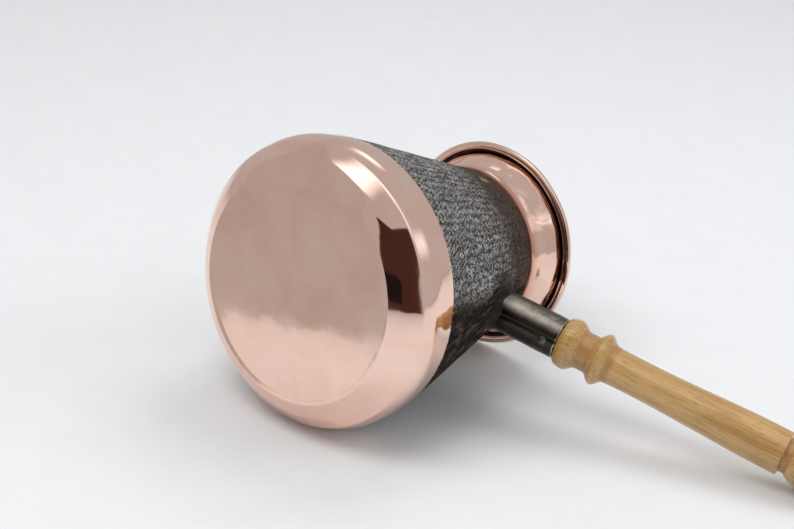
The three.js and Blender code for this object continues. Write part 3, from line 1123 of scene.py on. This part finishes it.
wood = {
    "gap": 0.3,
    "tenon": 20.0,
    "firstBead": (10.45, 9.2),  # radius, length
    "waist": (7.8, 3.9),
    "secondBead": (10.75, 8.1),
    "fullness": 0.78,  # 1 gives the beads slim sides, and less makes them rounder
    "gripStart": 7.7,
    "gripThin": 7.2,
    "gripThick": 8.9,
    "gripDip": 0.5,
    "thinAt": 0.3,
    "thickAt": 0.6,
    "gripLength": 75.0,
    "groove": (7.1, 2.6),
    "grooveStep": 0.6,
    "knob": (10.6, 25.0),
    "knobShy": 0.2,  # the turned end stops this far short
    "knobFullness": 1.25,
    "knobEndFullness": 1.1,
    "knobWideAt": 0.35,
    "segments": 96,
}


def beadCurve(start, length, radius, foot, blunt, steps=26):
    # a bead whose sides run out in coves; a blunt one rises straight from the socket
    points = []
    for k in range(steps + 1):
        share = k / steps
        if blunt and share < 0.5:
            rise = max(math.sin(math.pi * share), 0) ** 0.7
            height = start + length * (1 - math.cos(math.pi * share)) / 2
            points.append((foot + (radius - foot) * rise, height))
        else:
            rise = (0.5 - 0.5 * math.cos(2 * math.pi * share)) ** wood["fullness"]
            points.append((foot + (radius - foot) * rise, start + length * share))
    return points


def bezier(first, second, third, fourth, steps):
    points = []
    for k in range(steps + 1):
        t = k / steps
        weights = ((1 - t) ** 3, 3 * t * (1 - t) ** 2, 3 * t * t * (1 - t), t ** 3)
        pulls = list(zip(weights, (first, second, third, fourth)))
        points.append(tuple(sum(weight * point[axis] for weight, point in pulls) for axis in (0, 1)))
    return points


woodStart = socket["end"] + wood["gap"]
waistStart = woodStart + wood["firstBead"][1]
secondStart = waistStart + wood["waist"][1]
gripStart = secondStart + wood["secondBead"][1]
grooveStart = gripStart + wood["gripLength"]
knobStart = grooveStart + wood["groove"][1]
knobEnd = knobStart + wood["knob"][1] - wood["knobShy"]


def woodOutline():
    grip = bezier(
        (wood["gripStart"], gripStart),
        (wood["gripThin"] - wood["gripDip"], gripStart + wood["gripLength"] * wood["thinAt"]),
        (wood["gripThick"], gripStart + wood["gripLength"] * wood["thickAt"]),
        (wood["gripThick"], grooveStart - wood["grooveStep"]), 46)
    knobRadius = wood["knob"][0]
    knob = bezier(
        (wood["groove"][0] + wood["grooveStep"], knobStart),
        (knobRadius * wood["knobFullness"], knobStart + wood["knob"][1] * wood["knobWideAt"]),
        (knobRadius * wood["knobEndFullness"], knobEnd),
        (0.3, knobEnd), 30)
    tenon = socket["radius"] - socket["wall"] - wood["gap"]
    waist = divide((wood["waist"][0], waistStart), (wood["waist"][0], secondStart), 6)[:-1]
    return (
        [(2.0, woodStart - wood["tenon"]), (tenon - 0.4, woodStart - wood["tenon"]),
         (tenon, woodStart - wood["tenon"] + 0.4), (tenon, woodStart)]
        + beadCurve(woodStart, wood["firstBead"][1], wood["firstBead"][0], wood["waist"][0], True) + waist
        + beadCurve(secondStart, wood["secondBead"][1], wood["secondBead"][0], wood["waist"][0], False)
        + grip[1:]
        + [(wood["groove"][0] + 0.15, grooveStart - 0.1), (wood["groove"][0], grooveStart + 0.3),
           (wood["groove"][0], knobStart - wood["grooveStep"])]
        + knob
    )


def makeHandle():
    piece = turnOnLathe("turned_handle", woodOutline(), wood["segments"])
    bpy.ops.object.mode_set(mode="OBJECT")
    for vert in piece.data.vertices:
        x, y, z = vert.co / mm
        radius = math.hypot(x, y)
        if radius < 0.5:
            continue
        # sanded by hand, so a little uneven along its length
        uneven = noise.noise(Vector((x * 0.08, y * 0.08, z * 0.05))) * 0.12
        uneven += noise.noise(Vector((x, y, z * 0.2)) * 0.3) * 0.04
        shrink = 1 - (uneven + 0.06) / radius * smoothStep(woodStart - 1, woodStart + 1, z)
        vert.co = Vector((x * shrink, y * shrink, z)) * mm
    writeAttribute(piece, "along", lambda place: place.z / mm)
    writeAttribute(piece, "girth", lambda place: place.xy.length / mm)
    mountOnHandle(piece)
    return finishShape(piece, 50)


def woodMaterial():
    material = newMaterial("varnishedWood", Coat_Weight=0.9, Coat_Roughness=0.2, IOR=1.5)
    local = objectPlace(place=handlePlace)
    along = attributeValue("along")
    girth = attributeValue("girth")

    def stretched(across, length, offset=(0, 0, 0)):
        return addNode("Mapping", {
            "Vector": local, "Scale": (across, across, length), "Location": offset}).outputs["Vector"]
    # year rings cut through the blank, a little off its middle
    rings = addNode("TexWave", {
        "Vector": stretched(1, 0.07, (0.021, 0.013, 0)), "Scale": 125, "Distortion": 3.2, "Detail": 3,
        "Detail Scale": 1.6, "Detail Roughness": 0.6,
    }, wave_type="RINGS", rings_direction="Z").outputs["Fac"]
    streaks = noiseValue(stretched(1, 0.035), 950, detail=5, roughness=0.62)
    cloud = noiseValue(stretched(1, 0.3), 75, detail=3)
    pores = noiseValue(stretched(1, 0.07), 2600, detail=2)
    tone = ramped(rings, [
        (0.0, paint(193, 154, 92)), (0.45, paint(183, 143, 79)),
        (0.8, paint(167, 126, 62)), (1.0, paint(187, 147, 83))])
    tone = stained(tone, streaks, 0.38, 0.7, 0.7, paint(160, 112, 52))
    tone = stained(tone, cloud, 0.42, 0.68, 0.45, paint(221, 184, 118))
    tone = stained(tone, pores, 0.60, 0.70, 0.6, paint(100, 64, 28))
    # the wood is darker in the waist between the beads and in the groove before the knob
    thin = ranged(girth, 7.7, 9.0, 0.55, 0)
    beads = ranged(along, gripStart + 1, gripStart + 3, 1, 0)
    beads = times(thin, beads)
    tone = mixedColour(beads, tone, paint(150, 98, 38))
    line = humped(along, (grooveStart - 0.8, grooveStart), (knobStart - 0.4, knobStart + 0.8))
    tone = mixedColour(times(line, 0.6), tone, paint(150, 104, 50))
    plug("Base Color", tone)
    plug("Roughness", ranged(streaks, 0.3, 0.75, 0.34, 0.5))
    normal = bumped(streaks, 0.00025, 0.35)
    plug("Normal", bumped(pores, 0.0001, 0.3, normal))
    return material


turnedHandle = makeHandle()
turnedHandle.data.materials.append(woodMaterial())
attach(turnedHandle, "root")
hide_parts("wooden_handle")
print("wooden handle turned")

# the floor lies against whatever reaches lowest on its side
downward = Vector(view["floorWay"]).normalized()
lowest = max(vert.co.dot(downward) for piece in (copperPot, turnedHandle) for vert in piece.data.vertices)
floorDepth = lowest + 0.2 * mm
addFloor(floorDepth)
for cardName, card in standingCards.items():
    addCard(cardName, card, floorDepth)
